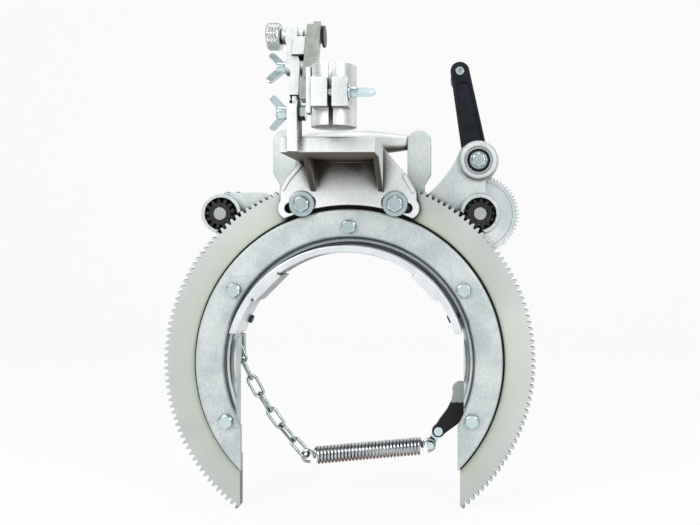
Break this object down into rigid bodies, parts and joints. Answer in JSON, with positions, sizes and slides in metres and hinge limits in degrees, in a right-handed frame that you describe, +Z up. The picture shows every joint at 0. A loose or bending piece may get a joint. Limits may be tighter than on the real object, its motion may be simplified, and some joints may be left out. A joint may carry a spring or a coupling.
{
  "type": "saddle-type pipe beveling machine",
  "caption": "Hand-cranked saddle machine that clamps on a pipe with a chain and turns a gapped ring gear carrying an adjustable cutting-torch holder.",
  "frame": {"origin": "on the pipe axis, at the front face of the ring gear", "axes": "+Z up through the handle, -Y towards the pictured front, +X towards the crank side; the pipe lies along Y"},
  "size_m": [0.3848, 0.3239, 0.4875],
  "materials": {
    "cast_aluminium": "sand-cast, satin",
    "zinc_plate": "bright zinc plate",
    "ring_steel": "zinc plate with a faint yellow-green tint",
    "black_steel": "black oxide, satin",
    "black_plastic": "moulded, satin",
    "bronze": "sintered bronze",
    "bright_steel": "turned steel",
    "spring_steel": "drawn wire, oiled",
    "seal_rubber": "matt"
  },
  "bodies": {
    "saddle": {"saddle_body": "cast_aluminium", "retainer_ring": "cast_aluminium", "retainer_bolts": "zinc_plate", "saddle_shoe": "cast_aluminium", "shoe_screws": "black_steel", "handle_grip": "cast_aluminium", "handle_rod": "bright_steel", "drive_bush": "bronze", "idler_bush": "bronze", "crank_bush": "bronze", "drive_rear_bush": "bronze", "crank_bearing": "bright_steel", "bearing_seal": "seal_rubber", "idler_set_screws": "black_steel", "chain_pin": "bright_steel", "lever_pin": "bright_steel", "roller_chain": "bright_steel"},
    "ring": {"ring_gear": "ring_steel", "torch_bracket": "cast_aluminium", "bracket_bolts": "zinc_plate", "bracket_washers": "zinc_plate", "pivot_bolt": "zinc_plate"},
    "pivot_nut": {"pivot_wing_nut": "zinc_plate"},
    "torch_arm": {"torch_arm": "cast_aluminium", "arm_set_screw": "black_steel"},
    "lock": {"lock_screw": "zinc_plate"},
    "torch_slide": {"slide_bar": "ring_steel", "rack": "ring_steel", "torch_clamp": "cast_aluminium"},
    "clamp_tightener": {"clamp_screw": "zinc_plate"},
    "feed": {"feed_knob": "bright_steel", "feed_shaft": "bright_steel", "feed_disc": "black_steel"},
    "drive": {"drive_pinion": "black_steel", "drive_shaft": "bright_steel", "bull_gear": "zinc_plate", "drive_sprocket": "bright_steel"},
    "idler": {"idler_pinion": "black_steel", "idler_shaft": "bright_steel", "idler_sprocket": "bright_steel"},
    "crank": {"crank_shaft": "bright_steel", "crank_pinion": "bright_steel", "crank_arm": "black_plastic", "crank_bolt": "zinc_plate", "bearing_inner": "bright_steel", "grip_pin": "zinc_plate"},
    "crank_grip": {"crank_grip": "black_plastic"},
    "boomer": {"boomer_lever": "black_steel", "lever_rivet": "zinc_plate"},
    "spring_link": {"link_plate": "zinc_plate", "tension_spring": "spring_steel"},
    "hold_chain": {"chain_links": "zinc_plate", "hook_link": "zinc_plate"}
  },
  "joints": [
    {"name": "ring_spin", "type": "hinge", "parent": "saddle", "child": "ring", "pos_m": [0, 0.006, 0], "axis": [0, 1, 0], "continuous": true, "deforming": ["roller_chain"]},
    {"name": "drive_spin", "type": "hinge", "parent": "saddle", "child": "drive", "pos_m": [0.13494, 0.006, 0.15335], "axis": [0, 1, 0], "continuous": true},
    {"name": "idler_spin", "type": "hinge", "parent": "saddle", "child": "idler", "pos_m": [-0.13494, 0.006, 0.15335], "axis": [0, 1, 0], "continuous": true},
    {"name": "crank_turn", "type": "hinge", "parent": "saddle", "child": "crank", "pos_m": [0.13344, 0.04, 0.20921], "axis": [0, 1, 0], "continuous": true},
    {"name": "grip_spin", "type": "hinge", "parent": "crank", "child": "crank_grip", "pos_m": [0.11395, 0.13, 0.31645], "axis": [0, 1, 0], "continuous": true},
    {"name": "bevel_pivot", "type": "hinge", "parent": "ring", "child": "torch_arm", "pos_m": [-0.03845, -0.1, 0.243], "axis": [1, 0, 0], "range_deg": [-45, 25]},
    {"name": "pivot_nut_turn", "type": "hinge", "parent": "ring", "child": "pivot_nut", "pos_m": [-0.048, -0.1, 0.243], "axis": [1, 0, 0], "continuous": true},
    {"name": "lock_screw_turn", "type": "hinge", "parent": "torch_arm", "child": "lock", "pos_m": [-0.05, -0.07887, 0.28831], "axis": [1, 0, 0], "continuous": true},
    {"name": "torch_feed", "type": "slide", "parent": "torch_arm", "child": "torch_slide", "axis": [0, 0.4226, 0.9063], "range_m": [0, 0.025]},
    {"name": "feed_knob_turn", "type": "hinge", "parent": "torch_arm", "child": "feed", "pos_m": [-0.05, -0.06145, 0.32212], "axis": [1, 0, 0], "range_deg": [-240, 10]},
    {"name": "clamp_screw_turn", "type": "hinge", "parent": "torch_slide", "child": "clamp_tightener", "pos_m": [0.018, -0.149, 0.25375], "axis": [1, 0, 0], "continuous": true},
    {"name": "boomer_swing", "type": "hinge", "parent": "saddle", "child": "boomer", "pos_m": [0.125, 0.045, -0.034], "axis": [0, -1, 0], "range_deg": [-25, 0]},
    {"name": "spring_swing", "type": "hinge", "parent": "boomer", "child": "spring_link", "pos_m": [0.0906, 0.045, -0.0811], "axis": [0, -1, 0], "range_deg": [-1, 36]},
    {"name": "hold_chain_swing", "type": "hinge", "parent": "saddle", "child": "hold_chain", "pos_m": [-0.1285, 0.045, 0.0105], "axis": [0, -1, 0], "range_deg": [-6, 1]}
  ],
  "couplings": [
    {"joint": "drive_spin", "follows": "ring_spin", "ratio": -13.846},
    {"joint": "idler_spin", "follows": "ring_spin", "ratio": -13.846},
    {"joint": "crank_turn", "follows": "ring_spin", "ratio": 36.923},
    {"joint": "feed_knob_turn", "follows": "torch_feed", "rad_per_m": -166.67},
    {"joint": "spring_swing", "follows": "boomer_swing", "ratio": -1.405},
    {"joint": "hold_chain_swing", "follows": "boomer_swing", "ratio": 0.2}
  ]
}
